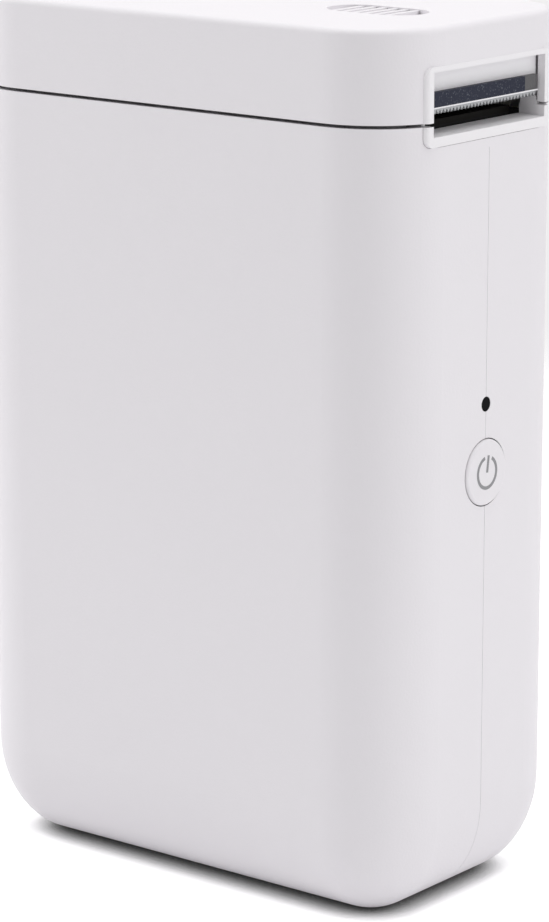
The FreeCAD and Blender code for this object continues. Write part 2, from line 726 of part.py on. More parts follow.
def motor_screw_places():
    reach = MOTOR_R + MOTOR_EAR_L / 2
    return [(MOTOR_X, MOTOR_Z + way * reach) for way in (-1, 1)]


def make_motor():
    """Small stepper with two ears, held against the inside of the +Y cheek. Its shaft carries the pinion."""
    can = rod_y(MOTOR_X, MOTOR_Z, MOTOR_R, CHEEK_Y - MOTOR_L, CHEEK_Y)
    ear_top = CHEEK_Y - MOTOR_EAR_T
    reach = MOTOR_R + MOTOR_EAR_L
    ears = box(
        MOTOR_X - MOTOR_EAR_L, MOTOR_X + MOTOR_EAR_L, ear_top, CHEEK_Y, MOTOR_Z - reach, MOTOR_Z + reach
    )
    holes = [rod_y(x, z, SMALL_SCREW_R + RUN_GAP, 0, CHEEK_Y) for x, z in motor_screw_places()]
    return fuse(can, ears).cut(holes)


def make_motor_screws():
    seat = CHEEK_Y - MOTOR_EAR_T
    return [
        screw_y(x, z, seat, SMALL_HEAD_R * 0.8, SMALL_HEAD_T, SMALL_SCREW_R, CHEEK_OUT_Y)
        for x, z in motor_screw_places()
    ]


def make_gear_posts():
    """Steel posts pressed into the +Y cheek for the idler and the reduction gear."""
    idler = rod_y(IDLER_X, IDLER_Z, POST_SHAFT_R, CHEEK_Y, GEAR_Y + GEAR_T)
    reduction = rod_y(REDUCTION_X, REDUCTION_Z, POST_SHAFT_R, CHEEK_Y, GEAR2_Y + GEAR_T + FACE_GAP)
    return [idler, reduction]


def make_motor_pinion():
    return gear(MOTOR_X, MOTOR_Z, PINION_TEETH, MOTOR_PHASE, GEAR2_Y, GEAR2_Y + GEAR_T, MOTOR_SHAFT_R)


def make_motor_shaft():
    return rod_y(MOTOR_X, MOTOR_Z, MOTOR_SHAFT_R, CHEEK_Y + RUN_GAP, GEAR2_Y + GEAR_T)


def make_reduction_gear():
    bore = POST_SHAFT_R + RUN_GAP
    small = gear(
        REDUCTION_X, REDUCTION_Z, PINION_TEETH, REDUCTION_PHASE, GEAR_Y, GEAR_Y + GEAR_T + FACE_GAP, bore
    )
    large = gear(
        REDUCTION_X, REDUCTION_Z, REDUCTION_TEETH, REDUCTION_PHASE, GEAR2_Y, GEAR2_Y + GEAR_T, bore
    )
    return fuse(small, large)


def make_idler_gear():
    return gear(IDLER_X, IDLER_Z, IDLER_TEETH, IDLER_PHASE, GEAR_Y, GEAR_Y + GEAR_T, POST_SHAFT_R + RUN_GAP)


# Print head

def make_thermal_head():
    """Ceramic strip with the raised heater line under the platen."""
    half = CERAMIC_W / 2
    strip = box(PLATEN_X - half, PLATEN_X + half, -HEAD_HALF, HEAD_HALF, PLATE_TOP, HEAD_TOP - RUN_GAP * 2)
    glaze_r = RUN_GAP * 2
    line = rod_y(PLATEN_X, HEAD_TOP - glaze_r, glaze_r, -HEAD_HALF + WALL, HEAD_HALF - WALL)
    return fuse(strip, line)


def make_head_bracket():
    """Heat-sink plate under the ceramic, with the barrel that it tips on."""
    plate = box(HEAD_PIVOT_X, PLATEN_X + HEAD_NOSE, -HEAD_HALF, HEAD_HALF, PLATE_BOTTOM, PLATE_TOP)
    barrel = rod_y(HEAD_PIVOT_X, HEAD_PIVOT_Z, HEAD_BARREL_R, -HEAD_HALF, HEAD_HALF)
    bore = rod_y(HEAD_PIVOT_X, HEAD_PIVOT_Z, HEAD_PIN_R + RUN_GAP, -HEAD_HALF, HEAD_HALF)
    return fuse(plate, barrel).cut(bore)


def make_head_pin():
    return rod_y(HEAD_PIVOT_X, HEAD_PIVOT_Z, HEAD_PIN_R, -CHEEK_OUT_Y, CHEEK_OUT_Y)


def make_head_springs():
    """Two bent leaf springs that press the head up."""
    x0, x1 = SPRING_SEAT_X0 + SPRING_T, PLATEN_X + CERAMIC_W / 2 - WALL
    low, high = SPRING_SEAT_TOP, PLATE_BOTTOM
    crest = PLATEN_X
    leaf = [
        (x0, low), (x0 + WALL, low), (crest, high - SPRING_T), (x1, low + SPRING_T * 3),
        (x1, low + SPRING_T * 4), (crest, high), (x0 + WALL, low + SPRING_T), (x0, low + SPRING_T),
    ]
    one = plate_xz(leaf, SPRING_Y - SPRING_W / 2, SPRING_Y + SPRING_W / 2)
    return both_sides(one)


def make_label_sensor():
    """Gap sensor on the paper deck, with its two windows."""
    x = CHASSIS_X0 + DECK_W / 2
    top = DECK_Z + DECK_T
    body = box(x - DECK_W / 2, x + DECK_W / 2 - FACE_GAP, -DECK_W, DECK_W, top, top + DECK_T)
    windows = [rod_z(x, way * DECK_W / 2, DECK_W / 4, top + DECK_T * 0.7, top + DECK_T) for way in (-1, 1)]
    return body.cut(windows)


# Platen

def make_platen_shaft():
    return rod_y(PLATEN_X, PLATEN_Z, SHAFT_R, -LID_CHEEK_OUT, GEAR_Y + GEAR_T + FACE_GAP)


def make_platen_rubber():
    sleeve = rod_y(PLATEN_X, PLATEN_Z, PLATEN_R, -PLATEN_HALF, PLATEN_HALF)
    return sleeve.cut(rod_y(PLATEN_X, PLATEN_Z, SHAFT_R, -PLATEN_HALF, PLATEN_HALF))


def make_platen_gear():
    return gear(PLATEN_X, PLATEN_Z, PLATEN_TEETH, PLATEN_PHASE, GEAR_Y, GEAR_Y + GEAR_T, SHAFT_R)


def make_platen_bushes():
    bush = rod_y(PLATEN_X, PLATEN_Z, BUSH_R, CHEEK_Y, LID_CHEEK_OUT)
    return both_sides(bush.cut(rod_y(PLATEN_X, PLATEN_Z, SHAFT_R + RUN_GAP, CHEEK_Y, LID_CHEEK_OUT)))


# Lid

def grip_recess():
    """Shallow slot-shaped hollow with upright ribs left standing across it."""
    r = GRIP_WIDTH / 2
    reach = GRIP_LENGTH / 2 - r
    z0 = BODY_H - GRIP_DEPTH
    hollow = fuse(
        box(GRIP_X - reach, GRIP_X + reach, GRIP_Y - r, GRIP_Y + r, z0, BODY_H + WALL),
        rod_z(GRIP_X - reach, GRIP_Y, r, z0, BODY_H + WALL),
        rod_z(GRIP_X + reach, GRIP_Y, r, z0, BODY_H + WALL),
    )
    first = GRIP_X - GRIP_LENGTH / 2 + GRIP_RIB_PITCH
    ribs = [
        box(x, x + GRIP_RIB_W, GRIP_Y - r, GRIP_Y + r, z0, BODY_H - GRIP_DEPTH / 4)
        for x in (first + i * GRIP_RIB_PITCH for i in range(GRIP_RIBS))
    ]
    return hollow.cut(ribs)


def make_lid_cover():
    """Lid shell with the upper part of the exit surround and the middle hinge knuckle."""
    outer = rounded_block(HALF_W, HALF_T, LID_BOTTOM, BODY_H, CORNER_R, top_r=LID_EDGE_R)
    inner = rounded_block(INNER_W, INNER_T, LID_BOTTOM - WALL, LID_CEILING, CORNER_R - WALL)
    hinge_clear = rod_y(HINGE_X, HINGE_Z, KNUCKLE_R + FACE_GAP, -HINGE_HALF, HINGE_HALF)
    shell = fuse(outer.cut(inner), bezel_blank(LID_BOTTOM, BODY_H)).cut(hinge_clear)
    web = box(HINGE_X - KNUCKLE_R, HINGE_X + KNUCKLE_R, -LID_KNUCKLE_HALF, LID_KNUCKLE_HALF, HINGE_Z,
              HINGE_Z + HINGE_WEB)
    barrel = rod_y(HINGE_X, HINGE_Z, KNUCKLE_R, -LID_KNUCKLE_HALF, LID_KNUCKLE_HALF)
    bore = rod_y(HINGE_X, HINGE_Z, HINGE_PIN_R + RUN_GAP, -LID_KNUCKLE_HALF, LID_KNUCKLE_HALF)
    exit_way = box(INNER_W - WALL, BODY_W, -EXIT_HALF_W, EXIT_HALF_W, LID_BOTTOM - WALL, EXIT_TOP_Z)
    pocket_y = EXIT_HALF_W + EXIT_POCKET
    pocket = box(
        INNER_W - 2 * WALL, HALF_W - EXIT_PILLAR_T, -pocket_y, pocket_y, LID_BOTTOM - WALL, EXIT_TOP_Z
    )
    screws = [rod_z(x, y, SMALL_SCREW_R + RUN_GAP, LID_CEILING - WALL, LID_CEILING + WALL / 2)
              for x, y in lid_screw_places()]
    return fuse(shell, web, barrel).cut([bore, exit_way, pocket, grip_recess()] + screws)


def lid_screw_places():
    return [(FRAME_BACK_X + WALL * 1.5, y) for y in (-CHEEK_Y + WALL, CHEEK_Y - WALL)]


def make_lid_frame():
    """Inner frame screwed under the lid: platen cheeks and the plate that shows above the cutter."""
    top = box(FRAME_BACK_X, PLATE_FACE_X - FRAME_T, -LID_CHEEK_OUT, LID_CHEEK_OUT, LID_CEILING - FRAME_T,
              LID_CEILING)
    top = top.common(rounded_block(INNER_W - FACE_GAP, INNER_T - FACE_GAP, 0, LID_CEILING, CORNER_R - WALL))
    cheek = box(PLATEN_X - CHEEK_HALF_W, PLATEN_X + CHEEK_HALF_W, CHEEK_Y, LID_CHEEK_OUT, CHEEK_BOTTOM_Z,
                LID_CEILING)
    cheeks = both_sides(cheek)
    plate = box(PLATE_FACE_X - FRAME_T, PLATE_FACE_X, -PLATE_HALF_W, PLATE_HALF_W, STRIP_BOTTOM_Z,
                EXIT_TOP_Z - RUN_GAP * 2)
    stem = box(PLATE_FACE_X - FRAME_T - WALL, PLATE_FACE_X - FRAME_T, -PLATE_HALF_W, PLATE_HALF_W,
               EXIT_TOP_Z - WALL, LID_CEILING)
    reach = LID_CHEEK_OUT + WALL
    holes = [rod_y(PLATEN_X, PLATEN_Z, BUSH_R, -reach, reach)]
    holes += [rod_z(x, y, SMALL_SCREW_R + RUN_GAP, LID_CEILING - FRAME_T, LID_CEILING)
              for x, y in lid_screw_places()]
    return fuse(top, cheeks[0], cheeks[1], plate, stem, *strip_carrier()).cut(holes)


def strip_carrier():
    """End block and thin ledge that hold the strip in front of the cutter."""
    x0 = PLATE_FACE_X + BLADE_T
    x1 = x0 + STRIP_T
    low = STRIP_BOTTOM_Z - LEDGE_T
    y0 = STRIP_END_Y + TRIM_GAP
    ledge = box(x0, x1, -STRIP_HALF_W, STRIP_HALF_W, low, STRIP_BOTTOM_Z)
    end_x = x1 - STRIP_END_STEP
    end = box(x0, end_x, y0, STRIP_HALF_W, low, STRIP_TOP_Z)
    hook = box(PLATE_FACE_X, end_x, y0, STRIP_HALF_W, BLADE_TOP_Z, STRIP_TOP_Z)
    return ledge, end, hook


def make_lid_screws():
    out = []
    seat = LID_CEILING - FRAME_T
    for x, y in lid_screw_places():
        head = rod_z(x, y, SMALL_HEAD_R, seat - SMALL_HEAD_T, seat)
        shank = rod_z(x, y, SMALL_SCREW_R, seat, LID_CEILING + WALL / 2 - RUN_GAP)
        out.append(fuse(head, shank))
    return out


def make_tear_blade():
    """Steel cutter with a saw-tooth lower edge."""
    count = int(2 * BLADE_HALF_W / BLADE_PITCH)
    half = count * BLADE_PITCH / 2
    root_z = BLADE_TIP_Z + TOOTH_DEPTH
    edge = []
    for i in range(count):
        y = -half + i * BLADE_PITCH
        edge += [(y, root_z), (y + BLADE_PITCH / 2, BLADE_TIP_Z)]
    edge.append((half, root_z))
    outline = edge + [(half, BLADE_TOP_Z), (-half, BLADE_TOP_Z)]
    loop = [V(PLATE_FACE_X, y, z) for y, z in outline]
    return Part.Face(Part.makePolygon(loop + loop[:1])).extrude(V(BLADE_T, 0, 0))


def make_blade_strip():
    """Dark clamp strip that holds the cutter against the lid frame."""
    x0 = PLATE_FACE_X + BLADE_T
    strip = box(x0, x0 + STRIP_T, -STRIP_HALF_W, STRIP_END_Y, STRIP_BOTTOM_Z, BLADE_TOP_Z)
    hook = box(PLATE_FACE_X, x0 + STRIP_T, -STRIP_HALF_W, STRIP_END_Y, BLADE_TOP_Z, STRIP_TOP_Z)
    return fuse(strip, hook)


# Button and indicator

def make_power_button():
    face = HALF_W + BUTTON_PROUD
    back = INNER_W - FACE_GAP
    cap = rod_x(0, BUTTON_Z, BUTTON_R, back - BUTTON_FLANGE_T, face)
    rim = [e for e in cap.Edges if e.BoundBox.XMin > face - 1e-6]
    cap = cap.makeFillet(BUTTON_EDGE_R, rim)
    flange = rod_x(0, BUTTON_Z, BUTTON_R + BUTTON_FLANGE, back - BUTTON_FLANGE_T, back)
    stem = rod_x(0, BUTTON_Z, STEM_R, stem_tip_x(), back - BUTTON_FLANGE_T)
    return fuse(cap, flange, stem)


def stem_tip_x():
    return INNER_W - FACE_GAP - BUTTON_FLANGE_T - 2 * STEM_R


def make_tact_switch():
    """Side-acting switch on the board, its plunger just short of the button's stem."""
    tip = stem_tip_x() - BUTTON_TRAVEL - SWITCH_GAP
    back = tip - BUTTON_TRAVEL * 2
    z0, z1 = BUTTON_Z - SWITCH_HALF, BUTTON_Z + SWITCH_HALF
    can = box(back - SWITCH_L, back, BOARD_FACE_Y, -BOARD_FACE_Y, z0, z1)
    return fuse(can, rod_x(0, BUTTON_Z, STEM_R, back, tip))


def make_indicator_pipe():
    """Smoked light pipe behind the pinhole."""
    front = HALF_W - INDICATOR_RECESS
    back = INNER_W - 2 * WALL
    pipe = rod_x(0, INDICATOR_Z, INDICATOR_R, back, front)
    flange = rod_x(0, INDICATOR_Z, INDICATOR_R + PIPE_FLANGE, INNER_W - WALL, INNER_W)
    return fuse(pipe, flange)


def make_status_led():
    front = INNER_W - 2 * WALL - FACE_GAP
    half = INDICATOR_R + PIPE_FLANGE / 2
    z0, z1 = INDICATOR_Z - half, INDICATOR_Z + half
    base = box(front - 2 * WALL, front - WALL, BOARD_FACE_Y, -BOARD_FACE_Y, z0, z1)
    return fuse(base, rod_x(0, INDICATOR_Z, INDICATOR_R, front - WALL, front))


# Electronics

def make_main_board():
    back = BOARD_FACE_Y - BOARD_T
    main = box(BOARD_X0, BOARD_X1, back, BOARD_FACE_Y, BOARD_Z0, BOARD_Z1)
    usb_tab = box(-INNER_W + WALL / 2, BOARD_X0, back, BOARD_FACE_Y, USB_Z - USB_W, USB_Z + USB_W)
    tab_end = INNER_W - BOARD_EDGE_GAP
    button_tab = box(BOARD_TAB_X, tab_end, back, BOARD_FACE_Y, BOARD_Z1 - WALL, BOARD_TAB_TOP)
    holes = [rod_y(x, z, SCREW_HOLE_R, back, BOARD_FACE_Y) for x, z in BOARD_POSTS]
    return fuse(main, usb_tab, button_tab).cut(holes)


def make_board_screws():
    tip = BOARD_FACE_Y - BOARD_T - SCREW_BITE
    return [
        screw_y(x, z, BOARD_FACE_Y, SMALL_HEAD_R, SMALL_HEAD_T, SMALL_SCREW_R, tip) for x, z in BOARD_POSTS
    ]


def make_board_chips():
    """Processor, radio module, motor driver and charger on the board's face."""
    low, high = BOARD_Z0 + 2 * BOARD_POST_IN, BOARD_Z1 - 3 * BOARD_POST_IN
    places = [
        (BOARD_X0 + 4 * BOARD_POST_IN, high, PROCESSOR_SIDE, PROCESSOR_SIDE),
        (BOARD_X1 - 5 * BOARD_POST_IN, high, RADIO_W, RADIO_H),
        (BOARD_X1 - 7 * BOARD_POST_IN, low, DRIVER_SIDE, DRIVER_SIDE),
        (BOARD_X0 + 2 * BOARD_POST_IN, low, CHARGER_SIDE, CHARGER_SIDE),
    ]
    return [
        box(x - a / 2, x + a / 2, BOARD_FACE_Y, BOARD_FACE_Y + CHIP_T, z - b / 2, z + b / 2)
        for x, z, a, b in places
    ]


def make_usb_socket():
    """Reversible charging socket: folded steel shell round a tongue."""
    mouth = -HALF_W + USB_RECESS
    back = mouth + USB_L
    shell = stadium_x(0, USB_Z, USB_W, PART_H, mouth, back)
    hollow = stadium_x(0, USB_Z, USB_W - 2 * USB_SHELL_T, PART_H - 2 * USB_SHELL_T, mouth, back - WALL)
    tongue = box(mouth + WALL / 2, back - WALL, -USB_TONGUE_T / 2, USB_TONGUE_T / 2, USB_Z - USB_TONGUE_W / 2,
                 USB_Z + USB_TONGUE_W / 2)
    return fuse(shell.cut(hollow), tongue)


def make_battery():
    y1 = INNER_T - PAD_T
    cell = box(BATTERY_X0, BATTERY_X0 + BATTERY_L, y1 - BATTERY_T, y1, BATTERY_Z0, BATTERY_Z0 + BATTERY_W)
    return cell.makeFillet(BATTERY_R, [e for e in cell.Edges if abs(e.tangentAt(e.FirstParameter).x) > 0.9])


def make_battery_pad():
    inset = BATTERY_R * 2
    return box(BATTERY_X0 + inset, BATTERY_X0 + BATTERY_L - inset, INNER_T - PAD_T, INNER_T,
               BATTERY_Z0 + inset, BATTERY_Z0 + BATTERY_W - inset)


def lead_route():
    """Height and depth that the battery's wires take from the cell to their connector."""
    y_cell = INNER_T - PAD_T - BATTERY_T / 2
    z_cell = BATTERY_Z0 + BATTERY_W
    return y_cell, z_cell, z_cell + LEAD_RISE


def make_battery_lead():
    """Pair of wires from the cell, up and over to the connector on the board."""
    y_cell, z_cell, z_run = lead_route()
    r = LEAD_BEND_R
    y_end = -BOARD_FACE_Y
    wires = []
    for way in (-1, 1):
        x = LEAD_X + way * LEAD_PITCH / 2
        corner = V(x, y_cell - r, z_run - r)
        middle = corner + V(0, math.sin(math.pi / 4), math.sin(math.pi / 4)) * r
        path = Part.Wire([
            Part.LineSegment(V(x, y_cell, z_cell), V(x, y_cell, z_run - r)).toShape(),
            Part.Arc(V(x, y_cell, z_run - r), middle, V(x, y_cell - r, z_run)).toShape(),
            Part.LineSegment(V(x, y_cell - r, z_run), V(x, y_end, z_run)).toShape(),
        ])
        section = Part.Wire(Part.makeCircle(LEAD_R, V(x, y_cell, z_cell), UP))
        wires.append(path.makePipeShell([section], True, False))
    return wires


def make_battery_connector():
    z_run = lead_route()[2]
    half = LEAD_PITCH * 1.4
    z0, z1 = z_run - LEAD_PITCH, z_run + LEAD_PITCH
    return box(LEAD_X - half, LEAD_X + half, BOARD_FACE_Y, -BOARD_FACE_Y, z0, z1)


def make_head_ribbon():
    """Flat cable from the board's tab up to the back of the print head."""
    y = BOARD_FACE_Y
    z0, z1 = BOARD_TAB_TOP - 2 * DECK_T, CHASSIS_Z0 - FACE_GAP
    return box(BOARD_TAB_X + WALL, BOARD_TAB_X + WALL + 2 * RIBBON_HALF, y, y + RIBBON_T, z0 - WALL, z1)


def make_ribbon_connector():
    z = BOARD_TAB_TOP - 2 * DECK_T
    x0 = BOARD_TAB_X + WALL - RIBBON_T
    x1 = x0 + 2 * (RIBBON_HALF + RIBBON_T)
    return box(x0, x1, BOARD_FACE_Y + RIBBON_T, BOARD_FACE_Y + CHIP_T, z - WALL, z)


def export(name, shape):
    solids = shape if isinstance(shape, list) else [shape]
    found = [s for piece in solids for s in piece.Solids]
    whole = Part.makeCompound(found) if len(found) > 1 else found[0]
    if not whole.isValid():
        raise ValueError(name + " is not a valid solid")
    whole.exportStep("parts/" + name + ".step")
    print(name, len(found), round(sum(s.Volume for s in found), 1))


def main():
    os.makedirs("parts", exist_ok=True)
    outer = body_outer()
    pieces = {
        "front_shell": make_front_shell(outer),
        "rear_shell": make_rear_shell(outer),
        "shell_screws": make_shell_screws(),
        "screw_plugs": make_screw_plugs(outer),
        "exit_lip": make_exit_lip(),
        "roll_cradle": make_roll_cradle(),
        "hinge_pin": make_hinge_pin(),
        "mech_chassis": make_chassis(),
        "chassis_screws": make_chassis_screws(),
        "stepper_motor": make_motor(),
        "motor_screws": make_motor_screws(),
        "gear_posts": make_gear_posts(),
        "head_pivot_pin": make_head_pin(),
        "head_springs": make_head_springs(),
        "label_sensor": make_label_sensor(),
        "main_board": make_main_board(),
        "board_screws": make_board_screws(),
        "board_chips": make_board_chips(),
        "usb_socket": make_usb_socket(),
        "tact_switch": make_tact_switch(),
        "status_led": make_status_led(),
        "indicator_pipe": make_indicator_pipe(),
        "battery_cell": make_battery(),
        "battery_pad": make_battery_pad(),
        "battery_lead": make_battery_lead(),
        "battery_connector": make_battery_connector(),
        "head_ribbon": make_head_ribbon(),
        "ribbon_connector": make_ribbon_connector(),
        "lid_cover": make_lid_cover(),
        "lid_frame": make_lid_frame(),
        "lid_screws": make_lid_screws(),
        "tear_blade": make_tear_blade(),
        "blade_strip": make_blade_strip(),
        "platen_bushes": make_platen_bushes(),
        "platen_shaft": make_platen_shaft(),
        "platen_rubber": make_platen_rubber(),
        "platen_gear": make_platen_gear(),
        "idler_gear": make_idler_gear(),
        "reduction_gear": make_reduction_gear(),
        "motor_pinion": make_motor_pinion(),
        "motor_shaft": make_motor_shaft(),
        "thermal_head": make_thermal_head(),
        "head_bracket": make_head_bracket(),
        "power_button": make_power_button(),
    }
    for name, shape in pieces.items():
        export(name, shape)


main()
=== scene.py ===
"""Looks of a pocket thermal label printer.

Finishes for every CAD piece, the mark on the button and a plain stage.
"""

import math

import bmesh
import bpy
from bpy.props import FloatProperty, FloatVectorProperty, PointerProperty
from mathutils import Matrix, Vector


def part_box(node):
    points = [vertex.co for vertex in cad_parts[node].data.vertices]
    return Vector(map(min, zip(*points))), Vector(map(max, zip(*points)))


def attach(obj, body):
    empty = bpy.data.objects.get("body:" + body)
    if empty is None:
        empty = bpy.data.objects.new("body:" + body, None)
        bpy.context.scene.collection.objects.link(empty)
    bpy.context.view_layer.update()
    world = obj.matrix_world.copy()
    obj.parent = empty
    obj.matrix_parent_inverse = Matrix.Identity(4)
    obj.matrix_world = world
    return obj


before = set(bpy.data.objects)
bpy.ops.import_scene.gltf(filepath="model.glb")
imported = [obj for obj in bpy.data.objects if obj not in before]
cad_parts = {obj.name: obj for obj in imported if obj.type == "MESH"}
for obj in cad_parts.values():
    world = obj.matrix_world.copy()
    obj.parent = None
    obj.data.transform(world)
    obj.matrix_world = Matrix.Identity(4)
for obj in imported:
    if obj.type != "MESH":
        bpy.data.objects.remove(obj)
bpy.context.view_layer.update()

bl_info = {
    "name": "Label printer looks",
    "version": (1, 0, 0),
    "blender": (4, 5, 0),
    "location": "View3D > Sidebar > Label printer",
    "description": "Dresses the label printer's CAD pieces and sets a plain studio round them",
    "category": "Object",
}

MM = 0.001

# Places on the CAD pieces
BUTTON_LOW, BUTTON_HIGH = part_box("power_button")
STRIP_LOW, STRIP_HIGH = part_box("blade_strip")
SURROUND_TOP = 124.58 * MM
EDGE = 0.01 * MM
STRIP_STEP = 0.05 * MM
LEDGE_STEP = 0.1 * MM
MIDDLE = Vector((0, 0, 0.065))

# Shared effects
GRAIN_SCALE = 2600.0
GRAIN_DETAIL = 3.0
GRAIN_HEIGHT = 0.2 * MM
TONE_SCALE = 45.0
TONE_DETAIL = 4.0
# Painted shade in creases and seams, from ambient occlusion
CREASE_REACH = 1.2 * MM
CREASE_SHUT = 0.1
CREASE_CLEAR = 0.5
CREASE_SAMPLES = 8
FLECK_SCALE = 3600.0
FLECK_LOW = 0.6
FLECK_HIGH = 0.8
FLECK_COLOUR = (0.5, 0.55, 0.6, 1.0)

# Button mark
RING_STEPS = 72
PRINT_T = 0.02 * MM

# Stage: place, width and setting of each light
LIGHTS = {
    "TopBox": ((0.0, 0.0, 0.9), 1.0, "top"),
    "LeftBox": ((-0.85, -0.35, 0.4), 0.7, "left"),
    "RightBox": ((0.85, 0.3, 0.4), 0.7, "right"),
}
FLOOR_HALF = 4.0
FLOOR_ROUGHNESS = 0.9
IMAGE_HEIGHT = 922
SENSOR = 36.0
CLIP_START = 0.01


# Properties


def tint(name, description, default):
    return FloatVectorProperty(
        name=name, description=description, default=default, size=3, subtype="COLOR", min=0, max=1
    )


def share(name, description, default, top=1.0):
    return FloatProperty(
        name=name, description=description, default=default, min=0, max=top, subtype="FACTOR"
    )


def length(name, description, default):
    return FloatProperty(
        name=name, description=description, default=default, min=0,
        unit="LENGTH", subtype="DISTANCE", precision=5,
    )


def offset(name, description, default):
    return FloatProperty(name=name, description=description, default=default, unit="LENGTH")


def angle(name, description, degrees):
    return FloatProperty(
        name=name, description=description, default=math.radians(degrees), subtype="ANGLE"
    )


def power(name, description, default):
    return FloatProperty(name=name, description=description, default=default, unit="POWER")


class ShellSettings(bpy.types.PropertyGroup):
    colour: tint("Shell colour", "Colour of the moulded shell", (0.822, 0.8, 0.828))
    surround: tint("Surround colour", "Colour of the surround of the label slot", (0.87, 0.855, 0.875))
    roughness: share("Roughness", "Roughness of the moulded shell", 0.52)
    shine: share("Shine", "Strength of the shell's reflections", 0.3)
    grain: share("Grain", "Strength of the fine moulded texture", 0.12)
    # Seam shade: how far painted shade darkens creases and seams
    seam_shade: share("Seam shade", "How far creases and seams darken", 0.6)


class WorksSettings(bpy.types.PropertyGroup):
    wear: share("Wear", "How uneven the inner pieces look", 0.25)
    strip_colour: tint("Strip colour", "Colour of the strip over the cutter", (0.018, 0.021, 0.038))
    # Painted shade: the block at the end of the strip is coloured dark to stand for the shade on it
    strip_end_shade: tint("Strip end colour", "Colour of the block at the end of the strip", (0.078, 0.076, 0.08))
    speckle: share("Speckle", "Light flecks on the strip over the cutter", 0.22)


class MarkSettings(bpy.types.PropertyGroup):
    colour: tint("Mark colour", "Colour of the mark on the button", (0.27, 0.27, 0.28))
    radius: length("Radius", "Outer radius of the mark's ring", 2.5 * MM)
    stroke: length("Stroke", "Width of the mark's lines", 0.5 * MM)
    bar: length("Bar", "Length of the mark's upright bar", 2.5 * MM)
    gap: angle("Gap", "Half of the opening at the top of the ring", 22)
    turn: angle("Turn", "How far the mark leans clockwise", 8)


class StageSettings(bpy.types.PropertyGroup):
    azimuth: angle("Azimuth", "Camera's turn from the wide face", 38.453)
    elevation: angle("Elevation", "Camera's height angle", 13.532)
    distance: length("Distance", "Camera's distance from the middle of the printer", 557.053 * MM)
    sideways: offset("Sideways", "Camera's offset to its right", 1.541 * MM)
    upward: offset("Upward", "Camera's offset upwards", -4.29 * MM)
    lens: FloatProperty(name="Lens", description="Focal length in image pixels", default=3716.333)
    top: power("Top light", "Power of the softbox overhead", 5.2)
    left: power("Left light", "Power of the softbox on the left", 2.8)
    right: power("Right light", "Power of the softbox on the right", 2.1)
    ambient: share("Ambient", "Brightness of the room", 0.43, 4.0)
    background: tint("Background colour", "Colour behind the floor", (0.885, 0.875, 0.88))
    floor: tint("Floor colour", "Colour of the open floor", (0.97, 0.965, 0.975))
    floor_lift: share("Floor lift", "How far the open floor is brightened for the camera", 0.42)
    # Painted contact shadow on the floor: its width and where it ends
    floor_contact: length("Floor contact", "Width of the dark contact shadow", 5.5 * MM)
    floor_clear: share("Floor clear", "Share of open sky at which the contact shadow ends", 0.5)
    floor_near: length("Floor fade start", "Distance at which the floor starts to fade", 220 * MM)
    floor_far: length("Floor fade end", "Distance at which the floor has faded to the background", 420 * MM)


# Node helpers


def link(tree, source, target):
    tree.links.new(source, target)


def add(tree, kind, **values):
    node = tree.nodes.new(kind)
    for name, value in values.items():
        setattr(node, name, value)
    return node


def group_tree(name, inputs, outputs):
    """Empty shader node group with float inputs given as name: default and outputs as name: socket kind."""
    tree = bpy.data.node_groups.new(name, "ShaderNodeTree")
    for label, default in inputs.items():
        socket = tree.interface.new_socket(label, in_out="INPUT", socket_type="NodeSocketFloat")
        socket.default_value = default
    for label, kind in outputs.items():
        tree.interface.new_socket(label, in_out="OUTPUT", socket_type=kind)
    return tree, add(tree, "NodeGroupInput"), add(tree, "NodeGroupOutput")


def grain_group():
    """Fine moulded texture: a bumped normal and a slow change of tone."""
    tree, entry, out = group_tree(
        "FineGrain",
        {"Scale": GRAIN_SCALE, "Bump": 0.1, "Tone": 0.1},
        {"Normal": "NodeSocketVector", "Tone": "NodeSocketFloat"},
    )
    place = add(tree, "ShaderNodeTexCoord")
    fine = add(tree, "ShaderNodeTexNoise")
    fine.inputs["Detail"].default_value = GRAIN_DETAIL
    slow = add(tree, "ShaderNodeTexNoise")
    slow.inputs["Scale"].default_value = TONE_SCALE
    slow.inputs["Detail"].default_value = TONE_DETAIL
    bump = add(tree, "ShaderNodeBump")
    bump.inputs["Distance"].default_value = GRAIN_HEIGHT
    spread = add(tree, "ShaderNodeMath", operation="SUBTRACT")
    spread.inputs[1].default_value = 0.5
    scaled = add(tree, "ShaderNodeMath", operation="MULTIPLY_ADD")
    scaled.inputs[2].default_value = 1.0
    link(tree, place.outputs["Object"], fine.inputs["Vector"])
    link(tree, place.outputs["Object"], slow.inputs["Vector"])
    link(tree, entry.outputs["Scale"], fine.inputs["Scale"])
    link(tree, entry.outputs["Bump"], bump.inputs["Strength"])
    link(tree, fine.outputs["Fac"], bump.inputs["Height"])
    link(tree, slow.outputs["Fac"], spread.inputs[0])
    link(tree, spread.outputs[0], scaled.inputs[0])
    link(tree, entry.outputs["Tone"], scaled.inputs[1])
    link(tree, bump.outputs["Normal"], out.inputs["Normal"])
    link(tree, scaled.outputs[0], out.inputs["Tone"])
    return tree


